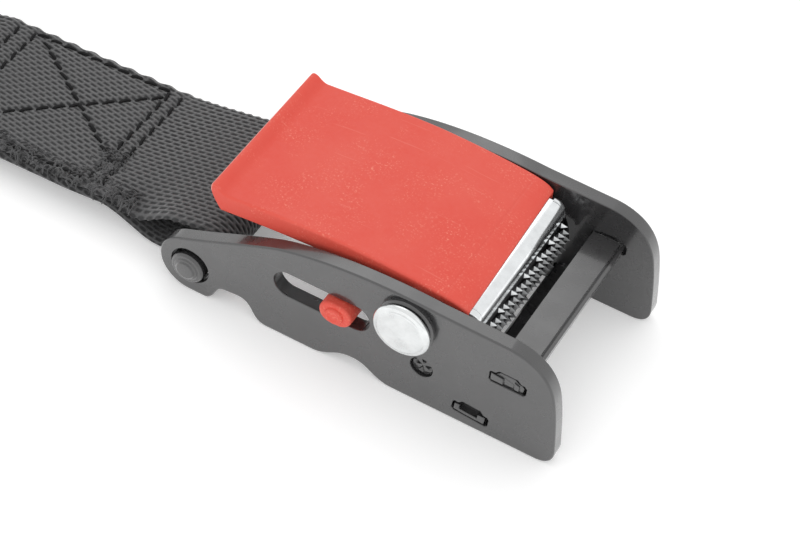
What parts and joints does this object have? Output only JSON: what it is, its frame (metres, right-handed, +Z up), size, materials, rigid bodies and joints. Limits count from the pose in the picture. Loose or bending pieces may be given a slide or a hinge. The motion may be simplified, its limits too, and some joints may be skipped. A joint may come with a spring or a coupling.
{
  "type": "cam lever tie down buckle",
  "caption": "Painted steel cam buckle with a red lever cover, toothed cam, sliding lock bar and a sewn webbing strap that grips and holds cargo.",
  "frame": {"origin": "on the ground under the middle of the whole object, halfway between the roll of webbing and the open mouth of the buckle", "axes": "+X along the webbing towards the open mouth of the buckle, +Y across the webbing, +Z up"},
  "size_m": [0.2316, 0.051, 0.0618],
  "materials": {
    "black_paint": "gloss",
    "zinc_plate": "bright zinc plating",
    "spring_steel": "bright drawn wire",
    "red_plastic": "satin moulded",
    "nylon": "plain",
    "black_webbing": "woven polyester"
  },
  "bodies": {
    "frame": {"side_plate_near": "black_paint", "side_plate_far": "black_paint", "upper_bar": "black_paint", "lower_bar": "black_paint", "stop_pin": "black_paint", "anchor_pin": "black_paint", "cam_axle": "zinc_plate", "axle_washer_near": "nylon", "axle_washer_far": "nylon", "lock_spring_near": "spring_steel", "lock_spring_far": "spring_steel"},
    "lever": {"cam_lever": "zinc_plate", "lever_cover": "red_plastic", "return_spring": "spring_steel"},
    "lock": {"lock_bar": "zinc_plate", "lock_button_near": "red_plastic", "lock_button_far": "red_plastic"},
    "webbing": {"webbing_loop": "black_webbing", "webbing_run": "black_webbing", "webbing_roll": "black_webbing"}
  },
  "joints": [
    {"name": "lever_hinge", "type": "hinge", "parent": "frame", "child": "lever", "pos_m": [0.0822, 0, 0.0204], "axis": [0, 1, 0], "range_deg": [0, 36], "stiffness_Nm_per_rad": 0.06, "springref_deg": -22.92},
    {"name": "lock_slide", "type": "slide", "parent": "frame", "child": "lock", "axis": [1, 0, 0], "range_m": [-0.0107, 0], "stiffness_N_per_m": 150, "springref_m": 0.005},
    {"name": "webbing_swivel", "type": "hinge", "parent": "frame", "child": "webbing", "pos_m": [0.0336, 0, 0.0071], "axis": [0, 1, 0], "range_deg": [0, 45]}
  ]
}
